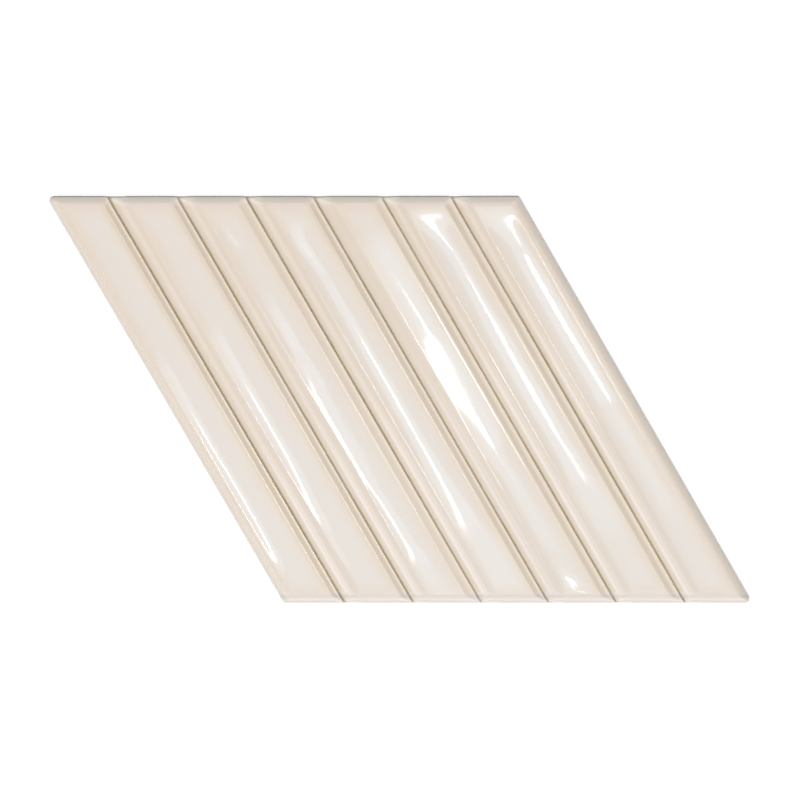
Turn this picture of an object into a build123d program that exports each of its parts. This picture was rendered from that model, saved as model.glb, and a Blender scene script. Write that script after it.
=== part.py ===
from build123d import *
import os
from math import atan, cos, degrees, radians, sin

# Rhombus wall tile with seven raised, slightly dished strips on its glazed face.
# Frame: origin in the middle of the back face, +X along the two level sides,
# +Y across them, +Z out of the glazed face. Millimetres.

# ---------------------------------------------------------------- outline
SIDE = 152.0              # each side of the rhombus, corner to corner unrounded
ACUTE = 60.0              # its sharp corners, degrees
SHARP_CORNER_R = 1.5      # plan rounding of the two 60 degree corners
BLUNT_CORNER_R = 1.0      # plan rounding of the two 120 degree corners

# ---------------------------------------------------------------- thickness
THICK = 9.0               # back face to the strips' rims
EDGE_Z = 6.9              # height at which the rounded edge meets an upright slanted side
END_Z = 7.4               # the same at the two level sides
BACK_CHAMFER = 0.6        # round the back face

# ---------------------------------------------------------------- strips
# Groove centre lines and rims, measured square to the strips from the left slanted side.
GROOVES = [17.07, 36.37, 55.45, 74.30, 93.26, 112.55]
LEFT_RIMS = [3.30, 22.36, 41.65, 60.27, 79.77, 98.05, 117.21]
RIGHT_RIMS = [14.38, 33.56, 51.96, 71.35, 89.85, 109.12, 127.95]
RELIEF = 0.75             # rims above the ledges beside a groove
LEDGE_LEFT = 0.42         # from a groove's centre to the foot of the short flank on its left
LEDGE_RIGHT = 0.85        # from a groove's centre to the foot of the long flank on its right
LONG_GAIN, LONG_LOW = 1.58, 0.28      # steepest slope over mean slope; the hollow foot's share of the two radii
SHORT_GAIN, SHORT_LOW = 1.55, 0.70    # the same for the short flanks
GROOVE_W = 0.6
GROOVE_DEPTH = 0.84       # below the ledges, round bottom included
CREST_R = 3.0             # rim rounding
CREST_DEG = 7.0           # slope at which the rim rounding starts
DISH_DEG = 4.5            # slope of the hollow face just inside its rims

# ---------------------------------------------------------------- ends
TOP_MARGIN = 3.4          # rim to the +Y side
BOTTOM_MARGIN = 3.1       # rim to the -Y side
END_LIFT = 0.03           # the end rounding starts this much above the rims

# ---------------------------------------------------------------- keyed back
KEY_WIDTH = 4.0
KEY_DEPTH = 0.5
KEY_PITCH = 8.6
KEY_COUNT = 14
KEY_BORDER = 8.0          # flat border left round the keyed field

# ---------------------------------------------------------------- derived
HEIGHT = SIDE * sin(radians(ACUTE))          # between the two level sides
WIDTH = HEIGHT                               # between the two slanted sides: same in a rhombus
SHIFT = SIDE * cos(radians(ACUTE)) / 2       # half of the sideways lean
EDGE_DROP_DEG = 75.0                         # slope of the edge rounding where it meets the side
EDGE_PAST_DEG = 84.0                         # the rounding is drawn on to this slope, just outside the side
EDGE_MID_DEG = 35.0                          # slope between the tight and the wide edge arc


def slope(deg):
    return (cos(radians(deg)), sin(radians(deg)))


def flank(width, rise, gain, low):
    """Steepest slope, foot radius, straight length and upper radius of a flank between its foot and the rim rounding."""
    a, c = atan(gain * rise / width), radians(CREST_DEG)
    w = width - CREST_R * sin(c)
    h = rise - CREST_R * (1 - cos(c))
    # both * w_arc + straight * cos a = w;  both * h_arc + straight * sin a = h
    w_arc = low * sin(a) + (1 - low) * (sin(a) - sin(c))
    h_arc = low * (1 - cos(a)) + (1 - low) * (cos(c) - cos(a))
    det = w_arc * sin(a) - cos(a) * h_arc
    both = (w * sin(a) - cos(a) * h) / det
    straight = (w_arc * h - h_arc * w) / det
    return degrees(a), both * low, straight, both * (1 - low)


def edge_radii(width, drop):
    """Tight and wide radius of the outer rounding, from the upright side up to a rim."""
    d, m, b = radians(EDGE_DROP_DEG), radians(EDGE_MID_DEG), radians(CREST_DEG)
    w = width - CREST_R * sin(b)
    h = drop - CREST_R * (1 - cos(b))
    # tight * (sin d - sin m) + wide * (sin m - sin b) = w
    # tight * (cos m - cos d) + wide * (cos b - cos m) = h
    a11, a12 = sin(d) - sin(m), sin(m) - sin(b)
    a21, a22 = cos(m) - cos(d), cos(b) - cos(m)
    det = a11 * a22 - a12 * a21
    return (w * a22 - a12 * h) / det, (a11 * h - w * a21) / det


def past_side(tight):
    """How far the tight arc runs out and down past the side, so that the side cuts it cleanly."""
    d, p = radians(EDGE_DROP_DEG), radians(EDGE_PAST_DEG)
    return tight * (sin(p) - sin(d)), tight * (cos(d) - cos(p))


LEDGE_Z = THICK - RELIEF
GROOVE_Z = LEDGE_Z - GROOVE_DEPTH

short_flanks = [flank(g - LEDGE_LEFT - r, RELIEF, SHORT_GAIN, SHORT_LOW) for g, r in zip(GROOVES, RIGHT_RIMS)]
long_flanks = [flank(r - g - LEDGE_RIGHT, RELIEF, LONG_GAIN, LONG_LOW) for g, r in zip(GROOVES, LEFT_RIMS[1:])]
left_tight, left_wide = edge_radii(LEFT_RIMS[0], THICK - EDGE_Z)
right_tight, right_wide = edge_radii(WIDTH - RIGHT_RIMS[6], THICK - EDGE_Z)
top_tight, top_wide = edge_radii(TOP_MARGIN, THICK + END_LIFT - END_Z)
bottom_tight, bottom_wide = edge_radii(BOTTOM_MARGIN, THICK + END_LIFT - END_Z)

# The strips' section stands square to them; its origin is on the left slanted side.
across = (sin(radians(ACUTE)), cos(radians(ACUTE)), 0)
along = (cos(radians(ACUTE)), -sin(radians(ACUTE)), 0)
section_plane = Plane(origin=(-SIDE / 2, 0, 0), x_dir=across, z_dir=along)

with BuildPart() as rhombus_tile:
    # The slab: a rhombus with upright sides and a chamfered back edge.
    with BuildSketch(Plane.XY) as outline:
        with BuildLine():
            Polyline(
                (-SIDE / 2 - SHIFT, HEIGHT / 2),
                (SIDE / 2 - SHIFT, HEIGHT / 2),
                (SIDE / 2 + SHIFT, -HEIGHT / 2),
                (-SIDE / 2 + SHIFT, -HEIGHT / 2),
                close=True,
            )
        make_face()
        corners = outline.vertices().sort_by(Axis.X)
        fillet([corners[0], corners[-1]], SHARP_CORNER_R)
        blunt = [v for v in outline.vertices() if abs(v.X) < SIDE / 2 - SHIFT + 1]
        fillet(blunt, BLUNT_CORNER_R)
    extrude(amount=THICK + 3)
    chamfer(rhombus_tile.faces().sort_by(Axis.Z)[0].edges(), BACK_CHAMFER)

    # Seven strips: one section, run the length of the tile.
    with BuildSketch(section_plane) as strips:
        with BuildLine():
            (l_out, l_down), (r_out, r_down) = past_side(left_tight), past_side(right_tight)
            Polyline(
                (-l_out, EDGE_Z - l_down), (-6, EDGE_Z - l_down), (-6, -2),
                (WIDTH + 6, -2), (WIDTH + 6, EDGE_Z - r_down), (WIDTH + r_out, EDGE_Z - r_down),
            )
            # left edge, up to the first rim
            edge = JernArc((-l_out, EDGE_Z - l_down), slope(EDGE_PAST_DEG), left_tight, EDGE_MID_DEG - EDGE_PAST_DEG)
            edge = JernArc(edge @ 1, edge % 1, left_wide, CREST_DEG - EDGE_MID_DEG)
            for i in range(len(GROOVES) + 1):
                # rim, dished face, rim
                face_w = RIGHT_RIMS[i] - LEFT_RIMS[i] - 2 * CREST_R * sin(radians(DISH_DEG))
                edge = JernArc(edge @ 1, edge % 1, CREST_R, -CREST_DEG - DISH_DEG)
                edge = JernArc(edge @ 1, edge % 1, face_w / 2 / sin(radians(DISH_DEG)), 2 * DISH_DEG)
                edge = JernArc(edge @ 1, edge % 1, CREST_R, -CREST_DEG - DISH_DEG)
                if i == len(GROOVES):
                    break
                # short flank down, groove, long flank up
                g = GROOVES[i]
                deg, foot_r, straight, upper_r = short_flanks[i]
                edge = JernArc(edge @ 1, edge % 1, upper_r, CREST_DEG - deg)
                edge = Line(edge @ 1, edge @ 1 + Vector(straight * cos(radians(deg)), -straight * sin(radians(deg))))
                edge = JernArc(edge @ 1, edge % 1, foot_r, deg)
                edge = Line(edge @ 1, (g - GROOVE_W / 2, LEDGE_Z))
                edge = Line(edge @ 1, (g - GROOVE_W / 2, GROOVE_Z + GROOVE_W / 2))
                edge = ThreePointArc(edge @ 1, (g, GROOVE_Z), (g + GROOVE_W / 2, GROOVE_Z + GROOVE_W / 2))
                edge = Line(edge @ 1, (g + GROOVE_W / 2, LEDGE_Z))
                edge = Line(edge @ 1, (g + LEDGE_RIGHT, LEDGE_Z))
                deg, foot_r, straight, upper_r = long_flanks[i]
                edge = JernArc(edge @ 1, (1, 0), foot_r, deg)
                edge = Line(edge @ 1, edge @ 1 + Vector(straight * cos(radians(deg)), straight * sin(radians(deg))))
                edge = JernArc(edge @ 1, edge % 1, upper_r, CREST_DEG - deg)
            # right edge, down to the side
            edge = JernArc(edge @ 1, edge % 1, right_wide, CREST_DEG - EDGE_MID_DEG)
            edge = JernArc(edge @ 1, edge % 1, right_tight, EDGE_MID_DEG - EDGE_PAST_DEG)
            strip_end = edge @ 1
        make_face()
    extrude(amount=SIDE, both=True, mode=Mode.INTERSECT)

    # Rounded ends: the section of the two level sides, run along X.
    with BuildSketch(Plane.YZ) as ends:
        with BuildLine():
            (b_out, b_down), (t_out, t_down) = past_side(bottom_tight), past_side(top_tight)
            Polyline(
                (-HEIGHT / 2 - b_out, END_Z - b_down), (-HEIGHT / 2 - 6, END_Z - b_down), (-HEIGHT / 2 - 6, -2),
                (HEIGHT / 2 + 6, -2), (HEIGHT / 2 + 6, END_Z - t_down), (HEIGHT / 2 + t_out, END_Z - t_down),
            )
            edge = JernArc((-HEIGHT / 2 - b_out, END_Z - b_down), slope(EDGE_PAST_DEG), bottom_tight, EDGE_MID_DEG - EDGE_PAST_DEG)
            edge = JernArc(edge @ 1, edge % 1, bottom_wide, CREST_DEG - EDGE_MID_DEG)
            edge = JernArc(edge @ 1, edge % 1, CREST_R, -CREST_DEG)
            edge = Line(edge @ 1, (HEIGHT / 2 - TOP_MARGIN, THICK + END_LIFT))
            edge = JernArc(edge @ 1, (1, 0), CREST_R, -CREST_DEG)
            edge = JernArc(edge @ 1, edge % 1, top_wide, CREST_DEG - EDGE_MID_DEG)
            edge = JernArc(edge @ 1, edge % 1, top_tight, EDGE_MID_DEG - EDGE_PAST_DEG)
            end_end = edge @ 1
        make_face()
    extrude(amount=SIDE, both=True, mode=Mode.INTERSECT)

    # Keyed back: shallow channels along X, cut into the back face, with a rib
    # on the centre line and a flat border all round.
    with BuildSketch(Plane.XY) as keys:
        with GridLocations(0, KEY_PITCH, 1, KEY_COUNT):
            Rectangle(3 * SIDE, KEY_WIDTH)
        with BuildSketch(Plane.XY, mode=Mode.INTERSECT) as field:
            with BuildLine():
                inset = KEY_BORDER / sin(radians(ACUTE))
                half = SIDE / 2 - inset
                lean = SHIFT * (HEIGHT / 2 - KEY_BORDER) / (HEIGHT / 2)
                Polyline(
                    (-half - lean, HEIGHT / 2 - KEY_BORDER),
                    (half - lean, HEIGHT / 2 - KEY_BORDER),
                    (half + lean, -HEIGHT / 2 + KEY_BORDER),
                    (-half + lean, -HEIGHT / 2 + KEY_BORDER),
                    close=True,
                )
            make_face()
    extrude(amount=KEY_DEPTH, mode=Mode.SUBTRACT)

print("short flanks", [tuple(round(v, 2) for v in f) for f in short_flanks])
print("long flanks", [tuple(round(v, 2) for v in f) for f in long_flanks])
print("edge radii", [round(v, 2) for v in (left_tight, left_wide, right_tight, right_wide, top_tight, top_wide, bottom_tight, bottom_wide)])
print("strip section closes at", strip_end, "wanted", WIDTH + r_out, EDGE_Z - r_down)
print("end section closes at", end_end, "wanted", HEIGHT / 2 + t_out, END_Z - t_down)

rhombus_tile.part.label = "rhombus_tile"
os.makedirs("parts", exist_ok=True)
export_step(rhombus_tile.part, "parts/rhombus_tile.step")
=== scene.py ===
import math
import bpy
import numpy as np
from mathutils import Matrix, Quaternion, Vector
from mathutils.geometry import delaunay_2d_cdt


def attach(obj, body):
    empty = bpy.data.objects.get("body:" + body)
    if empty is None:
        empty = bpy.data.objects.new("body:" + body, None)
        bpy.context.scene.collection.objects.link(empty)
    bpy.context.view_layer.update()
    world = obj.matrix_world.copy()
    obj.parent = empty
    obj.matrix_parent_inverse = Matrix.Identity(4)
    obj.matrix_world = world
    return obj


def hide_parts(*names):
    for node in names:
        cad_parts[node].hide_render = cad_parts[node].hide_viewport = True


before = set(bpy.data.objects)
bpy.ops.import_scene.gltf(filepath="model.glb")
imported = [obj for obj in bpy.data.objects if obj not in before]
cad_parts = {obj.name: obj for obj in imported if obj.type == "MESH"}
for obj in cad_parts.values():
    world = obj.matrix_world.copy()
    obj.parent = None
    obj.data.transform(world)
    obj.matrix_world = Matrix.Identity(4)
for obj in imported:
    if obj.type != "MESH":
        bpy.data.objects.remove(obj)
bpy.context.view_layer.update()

NODE = "rhombus_tile"
MM = 0.001

# ------------------------------------------------------------------ sizes, mm
SIDE = 152.0
HALF_H = SIDE * math.sin(math.radians(60)) / 2      # half the height between the level sides
WIDTH = 2 * HALF_H                                  # between the slanted sides, square to them
LEAN = SIDE * math.cos(math.radians(60)) / 2
COS30 = math.cos(math.radians(30))
THICK = 9.0
EDGE_Z, END_Z = 6.9, 7.4
SHARP_R, BLUNT_R = 1.5, 1.0

GROOVES = [17.07, 36.37, 55.45, 74.30, 93.26, 112.55]
LEFT_RIMS = [3.3, 22.36, 41.65, 60.27, 79.77, 98.05, 117.21]
RIGHT_RIMS = [14.38, 33.56, 51.96, 71.35, 89.85, 109.12, 127.95]
RELIEF = 0.75
CREST_R, CREST_A = 3.0, math.radians(7)
TOP_MARGIN, BOTTOM_MARGIN = 3.4, 3.1

# The glaze sags into a shallow hollow on each face, a little different on each. One row is the hollow's
# section at a distance down the left side: (distance, slope by the left rim, power of the left half,
# lowest place from the left rim, power of the right half).
HOLLOW = [
    [(0, .085, 2.5, 5.5, 2.4), (50, .112, 2.5, 5.5, 2.4), (75, .125, 2.5, 5.4, 2.4), (92, .125, 2.5, 5.3, 2.4), (105, .136, 2.5, 5.5, 2.4),
     (120, .130, 2.5, 5.4, 2.4), (134, .105, 2.5, 5.2, 2.4), (140, .070, 2.5, 5.0, 2.4), (152, .045, 2.5, 5.2, 2.4)],
    [(0, .090, 2.5, 5.5, 2.4), (50, .122, 2.5, 5.6, 2.4), (80, .124, 2.5, 5.7, 2.4), (98, .112, 2.5, 5.5, 2.4), (106, .094, 2.5, 5.3, 2.4),
     (113, .076, 2.5, 5.2, 2.4), (120, .066, 2.5, 5.1, 2.4), (126, .046, 2.5, 5.0, 2.4), (152, .035, 2.5, 5.2, 2.4)],
    [(0, .110, 2.4, 5.2, 2.4), (25, .140, 2.4, 5.2, 2.4), (56, .132, 2.4, 5.2, 2.4), (64, .098, 2.6, 5.1, 2.4), (72, .064, 2.8, 5.0, 2.4),
     (82, .060, 2.9, 5.0, 2.4), (98, .056, 2.9, 5.0, 2.4), (106, .060, 2.9, 5.1, 2.4), (112, .076, 2.7, 5.2, 2.4), (120, .086, 2.6, 5.2, 2.4),
     (128, .084, 2.5, 5.2, 2.4), (137, .055, 2.4, 5.2, 2.4), (152, .040, 2.4, 5.2, 2.4)],
    [(0, .110, 1.9, 4.9, 2.2), (22, .145, 1.8, 5.0, 2.2), (38, .140, 1.8, 5.0, 2.2), (60, .115, 1.8, 5.0, 2.2), (90, .100, 1.8, 4.8, 2.2),
     (108, .070, 1.8, 4.7, 2.2), (124, .035, 1.9, 4.6, 2.2), (134, .020, 2.0, 4.6, 2.2), (152, .030, 2.0, 5.0, 2.2)],
    [(0, .026, 1.4, 4.8, 1.4), (30, .032, 1.35, 4.9, 1.35), (40, .034, 1.35, 5.0, 1.35), (45, .034, 1.4, 5.1, 1.45), (50, .031, 1.5, 5.2, 1.6),
     (54, .026, 1.7, 5.3, 1.8), (58, .021, 1.95, 5.5, 2.0), (66, .018, 2.0, 5.6, 2.0), (76, .019, 2.0, 5.5, 2.0), (84, .030, 1.7, 5.2, 1.8),
     (92, .044, 1.5, 4.8, 1.6), (98, .062, 1.5, 4.8, 1.6), (106, .080, 1.6, 4.8, 1.8), (122, .088, 1.7, 4.8, 1.9),
     (132, .110, 1.75, 4.2, 1.9), (140, .186, 1.8, 2.9, 1.9), (152, .193, 1.8, 2.8, 1.9)],
    [(0, .090, 1.8, 6.0, 2.0), (24, .100, 1.8, 6.2, 2.0), (40, .096, 1.9, 5.8, 2.0), (55, .088, 2.1, 5.4, 2.1), (75, .086, 2.1, 5.2, 2.1),
     (92, .086, 2.0, 5.4, 2.0), (100, .074, 2.0, 5.4, 2.0), (108, .048, 1.9, 5.4, 2.0), (116, .034, 1.9, 5.4, 2.0), (152, .060, 2.0, 5.4, 2.0)],
    [(0, .080, 2.0, 7.2, 2.0), (12, .082, 2.0, 7.2, 2.0), (22, .092, 2.0, 5.5, 2.0), (32, .094, 2.0, 4.8, 2.0), (50, .094, 2.0, 4.7, 2.0),
     (64, .078, 2.0, 5.3, 2.0), (74, .074, 2.0, 5.8, 2.0), (82, .092, 2.0, 5.8, 2.0), (92, .108, 2.0, 5.8, 2.0), (110, .098, 2.0, 5.8, 2.0),
     (152, .060, 2.0, 5.5, 2.0)],
]
# how much of the hollow closes gently towards each end, over how many mm: (share, length)
CLOSE_TOP = [(1.0, 16), (1.0, 16), (1.0, 18), (1.0, 26), (0, 20), (1.0, 16), (1.0, 15)]
CLOSE_LOW = [(.6, 16), (.6, 18), (.6, 18), (.75, 18), (.72, 8.5), (.25, 18), (.30, 18)]
RIM_SOFT = [1.5, 1.1, .9, 1.0, .45, .8, .8]              # how far the rims round over into the hollow
SOFT_TOP = [2.0, 2.0, 2.0, 2.0, 0.0, 1.2, 1.2]       # the same at the two ends
SOFT_LOW = [0.6, 0.6, 0.6, 0.6, 0.65, 0.8, 0.8]


# ------------------------------------------------------------------ smooth noise
def lattice(ix, iy, seed):
    h = (ix * 374761393 + iy * 668265263 + seed * 2246822519) & 0xFFFFFFFF
    h = ((h ^ (h >> 13)) * 1274126177) & 0xFFFFFFFF
    h = h ^ (h >> 16)
    return h.astype(np.float64) / 0x7FFFFFFF - 1.0


def noise(x, y, seed=0):
    """Smooth noise from -1 to 1 with a lattice of 1."""
    x = np.asarray(x, float) + 1000.0
    y = np.asarray(y, float) + 1000.0
    x, y = np.broadcast_arrays(x, y)
    ix, iy = np.floor(x).astype(np.int64), np.floor(y).astype(np.int64)
    fx, fy = x - ix, y - iy
    u = fx * fx * fx * (fx * (fx * 6 - 15) + 10)
    v = fy * fy * fy * (fy * (fy * 6 - 15) + 10)
    a, b = lattice(ix, iy, seed), lattice(ix + 1, iy, seed)
    c, d = lattice(ix, iy + 1, seed), lattice(ix + 1, iy + 1, seed)
    return (a * (1 - u) + b * u) * (1 - v) + (c * (1 - u) + d * u) * v


def smooth(x, lo, hi):
    t = np.clip((x - lo) / (hi - lo), 0, 1)
    return t * t * (3 - 2 * t)


# ------------------------------------------------------------------ section curves
def arc(a0, a1, r, n):
    """n steps of (run, rise) along an arc whose slope angle goes from a0 to a1; the start is left out."""
    out = []
    for k in range(1, n + 1):
        a = a0 + (a1 - a0) * k / n
        if a1 < a0:
            out.append((r * (math.sin(a0) - math.sin(a)), r * (math.cos(a) - math.cos(a0))))
        else:
            out.append((r * (math.sin(a) - math.sin(a0)), r * (math.cos(a0) - math.cos(a))))
    return out


def chain(start, *arcs):
    pts = [start]
    for a0, a1, r, n in arcs:
        x, z = pts[-1]
        pts += [(x + dx, z + dz) for dx, dz in arc(a0, a1, r, n)]
    return pts


def flank(width, rise, gain, low, n):
    """A flank from its foot up to its rim: concave foot, straight, convex arc, rim rounding. gain: steepest slope over the mean slope."""
    a, c = math.atan(gain * rise / width), CREST_A
    w, h = width - CREST_R * math.sin(c), rise - CREST_R * (1 - math.cos(c))
    w_arc = low * math.sin(a) + (1 - low) * (math.sin(a) - math.sin(c))
    h_arc = low * (1 - math.cos(a)) + (1 - low) * (math.cos(c) - math.cos(a))
    det = w_arc * math.sin(a) - math.cos(a) * h_arc
    both, straight = (w * math.sin(a) - math.cos(a) * h) / det, (w_arc * h - h_arc * w) / det
    foot_ = chain((0.0, 0.0), (0.0, a, both * low, n))
    x, z = foot_[-1]
    return foot_ + chain((x + straight * math.cos(a), z + straight * math.sin(a)), (a, c, both * (1 - low), n), (c, 0.0, CREST_R, 2))


EDGE_D, EDGE_M = math.radians(75), math.radians(35)


def edge_radii(width, drop):
    d, m, b = EDGE_D, EDGE_M, CREST_A
    w = width - CREST_R * math.sin(b)
    h = drop - CREST_R * (1 - math.cos(b))
    a11, a12 = math.sin(d) - math.sin(m), math.sin(m) - math.sin(b)
    a21, a22 = math.cos(m) - math.cos(d), math.cos(b) - math.cos(m)
    det = a11 * a22 - a12 * a21
    return (w * a22 - a12 * h) / det, (a11 * h - w * a21) / det


def outer_edge(margin, lift=0.0, foot_z=EDGE_Z):
    """From the side up to the rim: points (distance from the side, height)."""
    tight, wide = edge_radii(margin, THICK + lift - foot_z)
    return chain((0.0, foot_z), (EDGE_D, EDGE_M, tight, 5), (EDGE_M, CREST_A, wide, 5), (CREST_A, 0.0, CREST_R, 3))


LEDGE_Z = THICK - RELIEF
GROOVE_SECTION = [(-0.30, -0.005), (-0.24, -0.05), (-0.19, -0.22), (-0.15, -0.50), (-0.08, -0.78), (0.02, -0.84),
                  (0.12, -0.78), (0.20, -0.55), (0.27, -0.30), (0.36, -0.13), (0.52, -0.05), (0.72, -0.010)]
LEDGE_LEFT, LEDGE_RIGHT = 0.42, 0.85          # the level ledges beside a groove end here


def columns():
    """The section across the strips: s, height without the hollow, strip number, and position q across its face (-1 to 1, or 9 outside)."""
    cols = []
    for s, z in outer_edge(LEFT_RIMS[0])[:-1]:
        cols.append((s, z, 0, 9.0, "edge"))
    for i in range(7):
        l, r = LEFT_RIMS[i], RIGHT_RIMS[i]
        half = (r - l) / 2
        inner = [0.0, 0.12, 0.24, 0.38, 0.56, 0.80, 1.10, 1.46, 1.9, 2.4, 3.1, 3.9, 4.8]
        for d in inner:
            cols.append((l + d, THICK, i, -1 + d / half, "face"))
        cols.append(((l + r) / 2, THICK, i, 0.0, "face"))
        for d in reversed(inner):
            cols.append((r - d, THICK, i, 1 - d / half, "face"))
        if i == 6:
            break
        g = GROOVES[i]
        for s, z in reversed(flank(g - LEDGE_LEFT - r, RELIEF, 1.55, 0.70, 4)[1:-1]):
            cols.append((g - LEDGE_LEFT - s, LEDGE_Z + z, i, 9.0, "flank"))
        cols.append((g - LEDGE_LEFT, LEDGE_Z, i, 9.0, "ledge"))
        for dx, dz in GROOVE_SECTION:
            cols.append((g + dx, LEDGE_Z + dz, i if dx < 0 else i + 1, 9.0, "groove"))
        cols.append((g + LEDGE_RIGHT, LEDGE_Z, i + 1, 9.0, "ledge"))
        for s, z in flank(LEFT_RIMS[i + 1] - g - LEDGE_RIGHT, RELIEF, 1.58, 0.28, 5)[1:-1]:
            cols.append((g + LEDGE_RIGHT + s, LEDGE_Z + z, i + 1, 9.0, "flank"))
    for s, z in reversed(outer_edge(WIDTH - RIGHT_RIMS[6])[:-1]):
        cols.append((WIDTH - s, z, 6, 9.0, "edge"))
    return cols


COLS = columns()
col_s = np.array([c[0] for c in COLS])
col_z = np.array([c[1] for c in COLS])
col_i = np.array([c[2] for c in COLS])
col_q = np.array([c[3] for c in COLS])
col_kind = np.array([c[4] for c in COLS])
assert (np.diff(col_s) > 0).all(), [COLS[k] for k in np.where(np.diff(col_s) <= 0)[0]]

# rows, from the lower level side (y = -HALF_H) to the upper one, as distances from the lower side
END_LIFT = 0.03
bottom_edge = outer_edge(BOTTOM_MARGIN, END_LIFT, END_Z)
top_edge = outer_edge(TOP_MARGIN, END_LIFT, END_Z)
rows = [d for d, _ in bottom_edge]
NEAR_END = (0.12, 0.25, 0.4, 0.6, 0.85, 1.2, 1.65, 2.2, 2.9, 3.7)
rows += [BOTTOM_MARGIN + d for d in NEAR_END]
tops = [2 * HALF_H - d for d, _ in top_edge] + [2 * HALF_H - TOP_MARGIN - d for d in NEAR_END]
a, b = rows[-1], min(tops)
n_mid = int(round((b - a) / 0.9))
rows += [a + (b - a) * k / n_mid for k in range(1, n_mid)]
rows += sorted(tops)
row_d = np.array(rows)
assert (np.diff(row_d) > 0).all()
print("columns", len(col_s), "rows", len(row_d), "top quads", (len(col_s) - 1) * (len(row_d) - 1))

end_low = np.interp(row_d, [p[0] for p in bottom_edge], [p[1] for p in bottom_edge])
end_high = np.interp(2 * HALF_H - row_d, [p[0] for p in top_edge], [p[1] for p in top_edge])

S, D = np.meshgrid(col_s, row_d)                     # rows by columns
Y = D - HALF_H
Zs = np.broadcast_to(col_z, S.shape).copy()
I = np.broadcast_to(col_i, S.shape)
Q = np.broadcast_to(col_q, S.shape)
ALONG = (HALF_H - Y) / COS30 + S * math.tan(math.radians(30))   # distance down the strips

DOWN = (2 * HALF_H - D) / COS30                       # mm down the slanted side from the upper level side


def curve(rows, at, k):
    """Column k of the rows, as a smooth curve through them."""
    r = np.array(rows, float)
    d = np.diff(r[:, k]) / np.diff(r[:, 0])
    m = np.zeros(len(r))
    m[0], m[-1] = d[0], d[-1]
    m[1:-1] = np.where(d[:-1] * d[1:] > 0, 2 * d[:-1] * d[1:] / (d[:-1] + d[1:] + 1e-12), 0)
    n = np.clip(np.searchsorted(r[:, 0], at, side="right") - 1, 0, len(r) - 2)
    h = r[n + 1, 0] - r[n, 0]
    t = np.clip((at - r[n, 0]) / h, 0, 1)
    return r[n, k] * (2 * t ** 3 - 3 * t ** 2 + 1) + h * m[n] * (t ** 3 - 2 * t ** 2 + t) + r[n + 1, k] * (3 * t ** 2 - 2 * t ** 3) + h * m[n + 1] * (t ** 3 - t ** 2)


def eased(t, soft):
    t = np.clip(t, 0, None)
    return t / np.sqrt(t * t + soft * soft)


def hollow(i, t, width, down):
    """How far the face of strip i lies under its rims, t mm from the left one."""
    slope, pl, c, pr = [curve(HOLLOW[i], down, k) for k in (1, 2, 3, 4)]
    from_top, from_low = down - TOP_MARGIN / COS30, SIDE - BOTTOM_MARGIN / COS30 - down
    (mt, lt), (ml, ll) = CLOSE_TOP[i], CLOSE_LOW[i]
    slope = slope * (1 - mt * (1 - smooth(from_top, 0, lt))) * (1 - ml * (1 - smooth(from_low, 0, ll)))
    if SOFT_TOP[i]:
        slope = slope * eased(from_top, SOFT_TOP[i])
    slope = slope * eased(from_low, SOFT_LOW[i])
    deep = slope * c / pl
    left = deep * (1 - np.clip(1 - t / c, 0, 1) ** pl)
    right = deep * (1 - np.clip((t - c) / (width - c), 0, 1) ** pr)
    return np.where(t < c, left, right) * eased(t, RIM_SOFT[i]) * eased(width - t, RIM_SOFT[i])


inside = np.zeros_like(S)
for i in range(7):
    l, r = LEFT_RIMS[i], RIGHT_RIMS[i]
    m = (S >= l) & (S <= r)
    Zs[m] -= hollow(i, S[m] - l, r - l, DOWN[m])
    inside[m] = np.minimum(S[m] - l, r - S[m])

# slow waves in the glaze
wave = 0.012 * noise(S / 14, ALONG / 32, 11) + 0.0035 * noise(S / 4, ALONG / 11, 12)
Zs = Zs + wave * smooth(np.minimum(S, WIDTH - S), 0.2, 3.0)


def soft_min(a, b, k):
    h = np.clip(0.5 + 0.5 * (b - a) / k, 0, 1)
    return b * (1 - h) + a * h - k * h * (1 - h)


ends = np.minimum(end_low, end_high)[:, None] + np.zeros_like(S)
from_end = np.minimum(D - BOTTOM_MARGIN, 2 * HALF_H - D - TOP_MARGIN)
Z = soft_min(Zs, ends, np.where(Y > 0, 0.02 + 0.06 * (1 - smooth(from_end, 0.0, 5.0)), 0.03))
Z = np.minimum(Z, THICK - 0.004)

# plan position: the sharp rhombus, inset a little, then its corners rounded
INSET = 0.06
u_sq = INSET + S * (WIDTH - 2 * INSET) / WIDTH
y_sq = Y * (HALF_H - INSET) / HALF_H
near = np.argmin(np.stack([np.abs(S - g) for g in GROOVES]), 0)
off = S - np.array(GROOVES)[near]                    # from the nearest groove: + is on its right
broad = np.exp(-((off - 1.9) / 2.9) ** 4)            # the grooves and long flanks run out over the ends
notch = np.exp(-((off - np.array([2.5, 1.2, 1.2, 1.3, 1.2, 1.1])[near]) / np.array([2.8, 1.5, 1.5, 1.6, 1.5, 1.4])[near]) ** 4)
y_sq = y_sq - (0.10 * notch + 0.07 * broad) * smooth(Y, HALF_H - 6, HALF_H) + 0.12 * broad * smooth(-Y, HALF_H - 6, HALF_H)
X = -SIDE / 2 - y_sq / HALF_H * LEAN + u_sq / COS30
P = np.stack([X, y_sq], -1)


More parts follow.
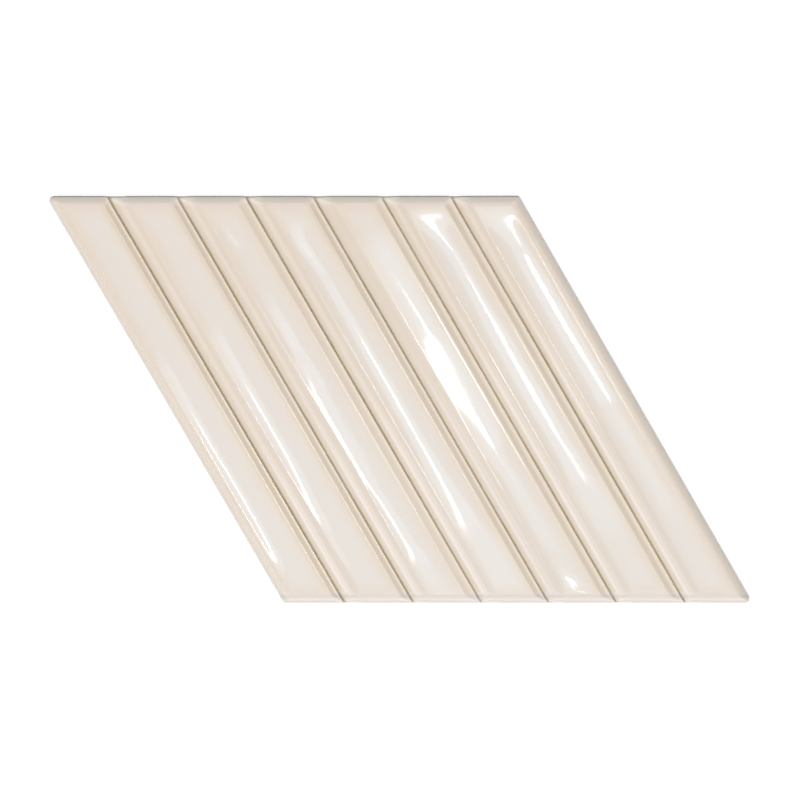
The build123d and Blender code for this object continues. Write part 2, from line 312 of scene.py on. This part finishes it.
def round_corner(P, corner, e1, e2, r):
    """Moves the points by a corner onto a rounded plan. e1 and e2 point along the two sides, away from the corner."""
    e1, e2 = np.array(e1), np.array(e2)
    cosw = float(e1 @ e2)
    w = math.acos(cosw)
    mid = (e1 + e2) / np.linalg.norm(e1 + e2)
    centre = np.array(corner) + mid * r / math.sin(w / 2)
    n1 = e1 - (e1 @ mid) * mid
    n1 /= np.linalg.norm(n1)
    rel = P - centre
    dist = np.linalg.norm(rel, axis=-1)
    with np.errstate(invalid="ignore", divide="ignore"):
        ang = np.arccos(np.clip((rel @ -mid) / np.maximum(dist, 1e-9), -1, 1))
        limit = (math.pi - w) / 2
        reach = r / np.cos(np.maximum(limit - ang, 0))      # the sharp side, seen from the centre
    near = (ang < limit) & (dist > 1e-9) & (dist < r / math.sin(w / 2) * 1.05)
    rho = np.clip(dist / np.maximum(reach, 1e-9), 0, 1)
    k = 1 - rho ** 0.35 * (1 - r / reach)
    out = P.copy()
    out[near] = (centre + rel * k[..., None])[near]
    return out


dx, sl = np.array([1.0, 0.0]), np.array([0.5, -COS30])
hh, ins = HALF_H - INSET, INSET


def corner_at(sx, sy):
    y = sy * hh
    s = ins if sx < 0 else WIDTH - ins
    return (-SIDE / 2 - y / HALF_H * LEAN + s / COS30, y)


P = round_corner(P, corner_at(-1, 1), dx, sl, SHARP_R)
P = round_corner(P, corner_at(1, -1), -dx, -sl, SHARP_R)
P = round_corner(P, corner_at(1, 1), -dx, sl, BLUNT_R)
P = round_corner(P, corner_at(-1, -1), dx, -sl, BLUNT_R)

# ------------------------------------------------------------------ mesh
nr, nc = S.shape
verts = [(P[j, i, 0], P[j, i, 1], Z[j, i]) for j in range(nr) for i in range(nc)]
faces, mats = [], []


def vid(j, i):
    return j * nc + i


for j in range(nr - 1):
    for i in range(nc - 1):
        faces.append((vid(j, i), vid(j, i + 1), vid(j + 1, i + 1), vid(j + 1, i)))
        # the topmost row of the face takes the painted shade material
        mats.append(2 if row_d[j + 1] > 2 * HALF_H - 0.18 else 0)

ring = [vid(0, i) for i in range(nc)] + [vid(j, nc - 1) for j in range(1, nr)]
ring += [vid(nr - 1, i) for i in range(nc - 2, -1, -1)] + [vid(j, 0) for j in range(nr - 2, 0, -1)]
rp = np.array([verts[k] for k in ring])
nxt, prv = np.roll(rp, -1, 0), np.roll(rp, 1, 0)
t1 = (nxt - rp)[:, :2]
t0 = (rp - prv)[:, :2]
t1 /= np.linalg.norm(t1, axis=1)[:, None]
t0 /= np.linalg.norm(t0, axis=1)[:, None]
t = t1 + t0
t /= np.linalg.norm(t, axis=1)[:, None]
out_n = np.stack([t[:, 1], -t[:, 0]], -1)            # the ring runs counter-clockwise
step = np.linalg.norm((nxt - rp)[:, :2], axis=1)
run = np.concatenate([[0], np.cumsum(step)[:-1]])
total = step.sum()


def loop_noise(length, seed):
    """Noise along the closed ring."""
    a = run / total * 2 * math.pi
    rad = total / (2 * math.pi) / length
    return noise(np.cos(a) * rad, np.sin(a) * rad, seed)


# side: (inset from the outline, height), from the ring down; the outline is INSET outside the ring
line = 4.9 + 0.45 * loop_noise(14, 41) + 0.16 * loop_noise(4, 42)    # where the glaze stops
top_z = rp[:, 2]
side = [
    (0.020, top_z - 0.14, 0), (0.0, top_z - 0.45, 0), (0.0, line + 0.40, 0),
    (0.03, line + 0.12, 0), (0.16, line, 0), (0.24, line - 0.08, 1),
    (0.32, 0.80 + 0 * line, 1), (0.42, 0.42 + 0 * line, 1), (0.85, 0.0 * line, 1),
]
n = len(ring)
last = ring
for inset, z, mat in side:
    base = len(verts)
    grow = INSET - inset
    for k in range(n):
        verts.append((rp[k, 0] + out_n[k, 0] * grow, rp[k, 1] + out_n[k, 1] * grow, float(z[k])))
    now = list(range(base, base + n))
    for k in range(n):
        m = (k + 1) % n
        faces.append((last[k], now[k], now[m], last[m]))
        # the glazed upper side wall takes the painted shade material
        mats.append(2 if mat == 0 and out_n[k, 1] > 0.9 else mat)
    last = now

# the back: keyed with shallow channels
KEY_WIDTH, KEY_DEPTH, KEY_PITCH, KEY_COUNT, KEY_BORDER = 4.0, 0.5, 8.6, 14, 8.0


def key_loop(yc, grow, z):
    """A channel's outline, counter-clockwise, with rounded corners; grow moves it outwards."""
    pts = []
    hw = KEY_WIDTH / 2 + grow
    for yy, ends_ in ((yc - hw, (-1, 1)), (yc + hw, (1, -1))):
        for e in ends_:
            s = KEY_BORDER - grow if e < 0 else WIDTH - KEY_BORDER + grow
            pts.append((-SIDE / 2 - yy / HALF_H * LEAN + s / COS30, yy))
    pts = [np.array(p) for p in pts]
    loop = []
    for k in range(4):
        p, a_, b_ = pts[k], pts[k - 1], pts[(k + 1) % 4]
        ea, eb = (a_ - p) / np.linalg.norm(a_ - p), (b_ - p) / np.linalg.norm(b_ - p)
        c = 0.8
        for f in (0.0, 0.25, 0.5, 0.75, 1.0):
            loop.append(p + ea * c * (1 - f) ** 2 + eb * c * f ** 2)
        length = np.linalg.norm(b_ - p)
        steps = max(1, int(length / 6))
        for m in range(1, steps):
            loop.append(p + eb * (c + (length - 2 * c) * m / steps))
    return [(float(a_), float(b_), z) for a_, b_ in loop]


back_pts = [(verts[k][0], verts[k][1]) for k in last]
loops = [list(range(len(back_pts)))]
ids = list(last)
keys = []
for k in range(KEY_COUNT):
    yc = (k - (KEY_COUNT - 1) / 2) * KEY_PITCH
    outer, mid_, inner = key_loop(yc, 0.0, 0.0), key_loop(yc, -0.12, 0.14), key_loop(yc, -0.30, KEY_DEPTH)
    base = len(verts)
    m = len(outer)
    verts += outer + mid_ + inner
    keys.append((base, m, yc))
    loops.append(list(range(len(back_pts), len(back_pts) + m)))
    back_pts += [(x, y) for x, y, _ in outer]
    ids += list(range(base, base + m))
    for ring_no in range(2):
        for e in range(m):
            f = (e + 1) % m
            a_, b_ = base + ring_no * m, base + (ring_no + 1) * m
            faces.append((a_ + e, a_ + f, b_ + f, b_ + e))
            mats.append(1)
    faces.append(tuple(base + 2 * m + e for e in reversed(range(m))))
    mats.append(1)

cdt_v, cdt_e, cdt_f, src_v, _, _ = delaunay_2d_cdt(
    [Vector(p) for p in back_pts],
    [(l[k], l[(k + 1) % len(l)]) for l in loops for k in range(len(l))],
    [], 1, 1e-7)
assert len(cdt_v) == len(back_pts), (len(cdt_v), len(back_pts))
lookup = [s_[0] for s_ in src_v]


def in_key(x, y):
    for _, _, yc in keys:
        if abs(y - yc) < KEY_WIDTH / 2:
            s = (x + SIDE / 2 + y / HALF_H * LEAN) * COS30
            return KEY_BORDER < s < WIDTH - KEY_BORDER
    return False


loop_of = {}
for no, l in enumerate(loops):
    for k in l:
        loop_of[k] = no
for f in cdt_f:
    src = [lookup[k] for k in f]
    same = {loop_of[k] for k in src}
    cx, cy = sum(cdt_v[k][0] for k in f) / 3, sum(cdt_v[k][1] for k in f) / 3
    if len(same) == 1 and 0 not in same and in_key(cx, cy):
        continue
    faces.append(tuple(ids[k] for k in reversed(src)))
    mats.append(1)

me = bpy.data.meshes.new("glazed_tile")
me.from_pydata([(x * MM, y * MM, z * MM) for x, y, z in verts], [], faces)
me.polygons.foreach_set("material_index", mats)
me.polygons.foreach_set("use_smooth", [True] * len(faces))
me.update()
me.validate(verbose=True)
tile = bpy.data.objects.new("glazed_tile", me)
bpy.context.scene.collection.objects.link(tile)
me.set_sharp_from_angle(angle=math.radians(50))
print("faces", len(faces), "tris", sum(len(f) - 2 for f in faces))

# colour layers worked out from the shape: the glaze is thicker and greyer on the faces, thinner and
# yellower over rims and flanks, and darker on the right of a groove; some layers below are painted light and shade
rim = np.minimum.reduce([np.abs(S - r) for r in LEFT_RIMS + RIGHT_RIMS])
face_in = np.where(np.abs(Q) <= 1, inside, -np.minimum(rim, 9))
face_in = np.minimum(face_in, 0.9 * np.minimum(D - BOTTOM_MARGIN, 2 * HALF_H - D - TOP_MARGIN))
uneven = 0.55 * noise(S / 3.0, ALONG / 16, 71)
panel = smooth(face_in + uneven * smooth(face_in, 0, 2), 0.0, 3.6)
right_flank = smooth(off, -3.9, -2.6) * (off < 0)
# painted light: a lighter band just left of each groove, on the lip and the foot of the right flank
thin_line = np.exp(-((off + 0.85) / 0.42) ** 2)
left_flank = smooth(-off, -5.6, -3.9) * (off > 0)
# in the lower part the darker left-flank colour reaches further up the flank: painted shade there
left_flank = np.maximum(left_flank, 0.8 * smooth(-off, -7.0, -4.8) * (off > 0) * smooth(DOWN, 50, 110))
left_flank = left_flank + (S < LEFT_RIMS[0]) * smooth(-S, -3.4, -2.6) * smooth(S, 0.8, 1.8)
foot = smooth(-off, -2.3, -1.2) * (off > 0)
# painted highlight: pale lines along the left flanks, 2.25 and 3.55 mm right of the groove, in the lower part
painted_flank_highlight = (np.exp(-((off - 2.25) / 0.42) ** 2) + 0.55 * np.exp(-((off - 3.55) / 0.40) ** 2)) * smooth(DOWN + 26 * (near / 2.5 - 1), 52, 96)
outer = 1 - smooth(np.minimum(S, WIDTH - S), 0.9, 2.6)
outer = np.maximum(outer, 1 - smooth(2 * HALF_H - D, 1.6, 3.4))
low_edge = 1 - smooth(D, BOTTOM_MARGIN - 0.4, BOTTOM_MARGIN + 1.0)
# painted shade: a darker band 2.2 mm in from the lower side
painted_low_shade = np.exp(-((D - 2.2) / 0.55) ** 2)
# painted shade: a darker band along each right rim where the flank turns down
painted_rim_shade = np.exp(-((off + 2.95) / 0.42) ** 2)
# painted shade: a dark line along the upper side; off the top face the layer is 0.6, so the glazed side walls are
# painted darker too
painted_top_shade = (1 - smooth(2 * HALF_H - D, 0.12, 0.45)) * (1 - 0.8 * broad)
# painted light: the long flanks paler where they run out over the upper end
painted_flank_end_light = broad * (1 - smooth(2 * HALF_H - D, 0.5, 1.7))

# the groove holds shade: darkest on its floor, trailing off on the right
trail = np.where(off < 0, smooth(off, -0.16, 0.04), smooth(-off, -1.05, -0.48))
tone = np.array([1.05, 0.84, 0.84, 0.70, 0.60, 0.76])[near]
tone = tone + 0.16 * noise(DOWN / 21, near * 5.0, 61) + 0.10 * noise(DOWN / 5, near * 5.0, 62) - np.array([.22, .12, .16, .0, -.08, .0])[near] * (DOWN / 76 - 1)
groove_dark = trail * np.clip(tone, 0.15, 1.3)


def layer(name, grid, rest):
    at = me.attributes.new(name, "FLOAT", "POINT")
    data = np.full(len(verts), rest, np.float32)
    data[: nr * nc] = grid.reshape(-1)
    at.data.foreach_set("value", data)


LAYERS = [("panel", panel, 0.0), ("down", DOWN / 152, 0.5), ("right_flank", right_flank, 0.0),
          ("left_flank", left_flank, 0.0), ("foot", foot, 0.0), ("thin_line", thin_line, 0.0), ("painted_flank_highlight", painted_flank_highlight, 0.0),
          ("outer", outer, 1.0), ("low_edge", low_edge, 0.0), ("painted_low_shade", painted_low_shade, 0.0), ("painted_rim_shade", painted_rim_shade, 0.0), ("painted_flank_end_light", painted_flank_end_light, 0.0), ("painted_top_shade", painted_top_shade, 0.6), ("groove_dark", groove_dark, 0.0)]
for name, grid, rest in LAYERS:
    layer(name, grid, rest)


# ------------------------------------------------------------------ materials
def new_material(name):
    mat = bpy.data.materials.new(name)
    mat.use_nodes = True
    nt = mat.node_tree
    nt.nodes.clear()
    return mat, nt


def node(nt, kind, **values):
    nd = nt.nodes.new(kind)
    for key, value in values.items():
        if key.startswith("in_"):
            nd.inputs[key[3:].replace("__", " ")].default_value = value
        else:
            setattr(nd, key, value)
    return nd


def link(nt, a, b):
    nt.links.new(a, b)


def mix(nt, fac, a, b, blend="MIX"):
    nd = nt.nodes.new("ShaderNodeMix")
    nd.data_type = "RGBA"
    nd.blend_type = blend
    for sock, val in ((nd.inputs[0], fac), (nd.inputs[6], a), (nd.inputs[7], b)):
        if isinstance(val, (int, float)):
            sock.default_value = val
        elif isinstance(val, tuple):
            sock.default_value = (*val, 1.0)
        else:
            link(nt, val, sock)
    return nd.outputs[2]


def ramp(nt, value, lo, hi, to_lo=0.0, to_hi=1.0, smooth_=True):
    nd = nt.nodes.new("ShaderNodeMapRange")
    nd.interpolation_type = "SMOOTHSTEP" if smooth_ else "LINEAR"
    for k, v in ((1, lo), (2, hi), (3, to_lo), (4, to_hi)):
        nd.inputs[k].default_value = v
    link(nt, value, nd.inputs[0])
    return nd.outputs[0]


glaze, nt = new_material("cream_glaze")
out = node(nt, "ShaderNodeOutputMaterial")
bsdf = node(nt, "ShaderNodeBsdfPrincipled")
link(nt, bsdf.outputs[0], out.inputs[0])
bsdf.inputs["IOR"].default_value = 1.52
bsdf.inputs["Roughness"].default_value = 0.05
co = node(nt, "ShaderNodeTexCoord").outputs["Object"]
on = {k: node(nt, "ShaderNodeAttribute", attribute_name=k).outputs["Fac"] for k, _, _ in LAYERS}
n1 = node(nt, "ShaderNodeTexNoise", in_Scale=60.0, in_Detail=3.0, in_Roughness=0.5)
link(nt, co, n1.inputs["Vector"])
n2 = node(nt, "ShaderNodeTexNoise", in_Scale=900.0, in_Detail=3.0, in_Roughness=0.6)
link(nt, co, n2.inputs["Vector"])


def along(high, low):
    """A colour that changes from the upper end to the lower end."""
    return mix(nt, on["down"], high, low)


base = mix(nt, on["panel"], along((0.708, 0.608, 0.508), (0.702, 0.614, 0.526)), along((0.710, 0.642, 0.577), (0.708, 0.658, 0.607)))
base = mix(nt, on["right_flank"], base, along((0.716, 0.602, 0.472), (0.722, 0.620, 0.500)))
# painted shade along the right rims
base = mix(nt, on["painted_rim_shade"], base, along((0.664, 0.562, 0.455), (0.690, 0.597, 0.490)))
base = mix(nt, on["left_flank"], base, along((0.646, 0.548, 0.446), (0.648, 0.570, 0.500)))
base = mix(nt, on["foot"], base, along((0.633, 0.533, 0.424), (0.645, 0.558, 0.460)))
# painted light beside each groove
base = mix(nt, on["thin_line"], base, (0.748, 0.634, 0.510))
# painted highlight on the left flanks
base = mix(nt, on["painted_flank_highlight"], base, (0.770, 0.688, 0.615))
base = mix(nt, on["outer"], base, (0.715, 0.640, 0.565))
base = mix(nt, on["low_edge"], base, (0.690, 0.635, 0.588))
# painted shade near the lower side
base = mix(nt, on["painted_low_shade"], base, (0.585, 0.525, 0.475))
base = mix(nt, ramp(nt, n1.outputs[0], 0.35, 0.7, 0.0, 0.16), base, (0.71, 0.63, 0.56))
# painted light at the upper ends of the flanks
base = mix(nt, on["painted_flank_end_light"], base, (0.86, 0.78, 0.68))
# painted shade along the upper side and on the glazed side walls
base = mix(nt, on["painted_top_shade"], base, (0.53, 0.48, 0.43))
base = mix(nt, on["groove_dark"], base, (0.50, 0.41, 0.29))
link(nt, base, bsdf.inputs["Base Color"])
bump = node(nt, "ShaderNodeBump", in_Strength=0.012, in_Distance=0.0002)
link(nt, n2.outputs[0], bump.inputs["Height"])
link(nt, bump.outputs[0], bsdf.inputs["Normal"])

# painted shade: a dark, dull glaze used only on the upper side wall and the topmost row of the face, so that side reads
# as in shade
thin, nt = new_material("thin_glaze")
out = node(nt, "ShaderNodeOutputMaterial")
bsdf = node(nt, "ShaderNodeBsdfPrincipled")
link(nt, bsdf.outputs[0], out.inputs[0])
bsdf.inputs["IOR"].default_value = 1.4
bsdf.inputs["Roughness"].default_value = 0.5
bsdf.inputs["Specular IOR Level"].default_value = 0.1
co = node(nt, "ShaderNodeTexCoord").outputs["Object"]
n1 = node(nt, "ShaderNodeTexNoise", in_Scale=240.0, in_Detail=3.0, in_Roughness=0.5)
link(nt, co, n1.inputs["Vector"])
base = mix(nt, ramp(nt, n1.outputs[0], 0.35, 0.65), (0.36, 0.32, 0.28), (0.42, 0.38, 0.33))
link(nt, base, bsdf.inputs["Base Color"])

# the fired body's colour, kept dark grey-beige so the unglazed lower sides read darker: part body colour, part painted
# shade
biscuit, nt = new_material("fired_body")
out = node(nt, "ShaderNodeOutputMaterial")
bsdf = node(nt, "ShaderNodeBsdfPrincipled")
link(nt, bsdf.outputs[0], out.inputs[0])
bsdf.inputs["IOR"].default_value = 1.45
co = node(nt, "ShaderNodeTexCoord").outputs["Object"]
n1 = node(nt, "ShaderNodeTexNoise", in_Scale=1500.0, in_Detail=4.0, in_Roughness=0.65)
link(nt, co, n1.inputs["Vector"])
n2 = node(nt, "ShaderNodeTexNoise", in_Scale=45.0, in_Detail=3.0, in_Roughness=0.5)
link(nt, co, n2.inputs["Vector"])
base = mix(nt, ramp(nt, n2.outputs[0], 0.35, 0.65), (0.47, 0.43, 0.38), (0.42, 0.38, 0.33))
base = mix(nt, ramp(nt, n1.outputs[0], 0.45, 0.75, 0.0, 0.35), base, (0.34, 0.30, 0.25))
link(nt, base, bsdf.inputs["Base Color"])
bsdf.inputs["Roughness"].default_value = 0.85
bump = node(nt, "ShaderNodeBump", in_Strength=0.35, in_Distance=0.0003)
link(nt, n1.outputs[0], bump.inputs["Height"])
link(nt, bump.outputs[0], bsdf.inputs["Normal"])

me.materials.append(glaze)
me.materials.append(biscuit)
me.materials.append(thin)

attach(tile, "root")
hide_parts(NODE)

# ------------------------------------------------------------------ floor, light, camera
floor_me = bpy.data.meshes.new("floor")
r_ = 6.0
# open under the tile, so that its back can be seen from below
hole = [(x * 0.97 * MM, y * 0.97 * MM, 0) for x, y in ((-SIDE / 2 + LEAN, -HALF_H), (SIDE / 2 + LEAN, -HALF_H), (SIDE / 2 - LEAN, HALF_H), (-SIDE / 2 - LEAN, HALF_H))]
floor_me.from_pydata([(-r_, -r_, 0), (r_, -r_, 0), (r_, r_, 0), (-r_, r_, 0)] + hole, [], [(k, (k + 1) % 4, 4 + (k + 1) % 4, 4 + k) for k in range(4)])
floor = bpy.data.objects.new("floor", floor_me)
bpy.context.scene.collection.objects.link(floor)
fm, nt = new_material("pale_floor")
out = node(nt, "ShaderNodeOutputMaterial")
bsdf = node(nt, "ShaderNodeBsdfPrincipled")
link(nt, bsdf.outputs[0], out.inputs[0])
bsdf.inputs["Base Color"].default_value = (0.2, 0.2, 0.2, 1)
bsdf.inputs["Roughness"].default_value = 0.9
bsdf.inputs["Specular IOR Level"].default_value = 0.0
bsdf.inputs["Emission Color"].default_value = (1, 1, 1, 1)
bsdf.inputs["Emission Strength"].default_value = 0.88     # an over-exposed white ground, so it keeps almost no shadow
floor_me.materials.append(fm)

scene = bpy.context.scene
world = bpy.data.worlds.new("studio")
scene.world = world
world.use_nodes = True
bg = world.node_tree.nodes["Background"]
bg.inputs[0].default_value = (1, 1, 1, 1)
bg.inputs[1].default_value = 0.16


def area(name, place, aim, size_x, size_y, radiance, roll=0.0, colour=(1, 1, 1)):
    """A soft box of this radiance, where a white wall in even light of 1 is 1."""
    data = bpy.data.lights.new(name, "AREA")
    data.shape = "RECTANGLE"
    data.size, data.size_y = size_x, size_y
    data.energy = radiance * math.pi * size_x * size_y
    data.color = colour
    ob = bpy.data.objects.new(name, data)
    ob.location = place
    quat = (Vector(aim) - Vector(place)).to_track_quat("-Z", "Y")
    ob.rotation_mode = "QUATERNION"
    ob.rotation_quaternion = quat @ Quaternion((0, 0, 1), roll)
    ob.visible_camera = False
    scene.collection.objects.link(ob)
    return ob


def bank(name, azimuth, elevation, distance, wide, high, radiance):
    """A large soft panel that faces the tile from this side."""
    az, el = math.radians(azimuth), math.radians(elevation)
    place = (distance * math.cos(el) * math.cos(az), distance * math.cos(el) * math.sin(az), distance * math.sin(el))
    return area(name, place, (0, 0, 0), wide, high, radiance)


CAM = (0.00517, 0.09765, 1.2)
FACE_Z = 0.0088
LAMP_Z = 1.45
N2 = Vector((COS30, 0.5, 0))            # across the strips
D2 = Vector((0.5, -COS30, 0))           # down the strips
up_lamp, up_cam = LAMP_Z - FACE_Z, CAM[2] - FACE_Z
SPREAD = 1 + up_lamp / up_cam


def over(s, a):
    """Where a lamp at LAMP_Z is mirrored to the camera by a level face at s mm from the left side and a mm down the strips."""
    p = (Vector((-SIDE / 2 - LEAN, HALF_H, 0)) + N2 * s + D2 * a) * MM
    return Vector((p.x + (p.x - CAM[0]) * up_lamp / up_cam, p.y + (p.y - CAM[1]) * up_lamp / up_cam, LAMP_Z))


def overhead(name, s0, s1, a0, a1, lift, radiance, colour=(1, 1, 1)):
    """A level lamp whose mirror image in a level face would cover this part of the tile."""
    centre = over((s0 + s1) / 2, (a0 + a1) / 2) + Vector((0, 0, lift))
    return area(name, centre, centre - Vector((0, 0, 1)), (s1 - s0) * MM * SPREAD, (a1 - a0) * MM * SPREAD, radiance, roll=math.atan2(D2.y, D2.x) - math.pi / 2, colour=colour)


overhead("strobe", 85, 103, 88, 152, 0.0, 10.0)
overhead("strobe_glow", 82, 106, 81, 158, 0.01, 1.2)
DAY = (0.66, 1.0, 1.30)
overhead("soft_box", 46, 161, 66, 156, 0.02, 0.85, DAY)
overhead("soft_box_far", 46, 161, 66, 188, 0.03, 0.80, DAY)
area("ceiling_bank", (0, -0.12, 1.52), (0, -0.12, 0), 2.2, 2.2, 1.48)
bank("front_bank", 285, 42, 1.8, 1.6, 1.2, 2.0)
bank("left_bank", 205, 42, 1.8, 1.5, 1.2, 1.25)
bank("under_fill", 230, -50, 1.6, 1.2, 1.2, 3.2)

cam = bpy.data.cameras.new("camera")
cam.sensor_width = 36.0
cam.lens = 36.0 * 3713.5 / 800
cam.clip_start, cam.clip_end = 0.05, 20
camera = bpy.data.objects.new("camera", cam)
camera.location = CAM
turn = Matrix.Rotation(math.radians(-4.675), 4, "X") @ Matrix.Rotation(math.radians(0.261), 4, "Y") @ Matrix.Rotation(math.radians(-0.010), 4, "Z")
camera.rotation_mode = "QUATERNION"
camera.rotation_quaternion = turn.to_quaternion()
scene.collection.objects.link(camera)
scene.camera = camera
scene.view_settings.view_transform = "Standard"
scene.view_settings.look = "None"
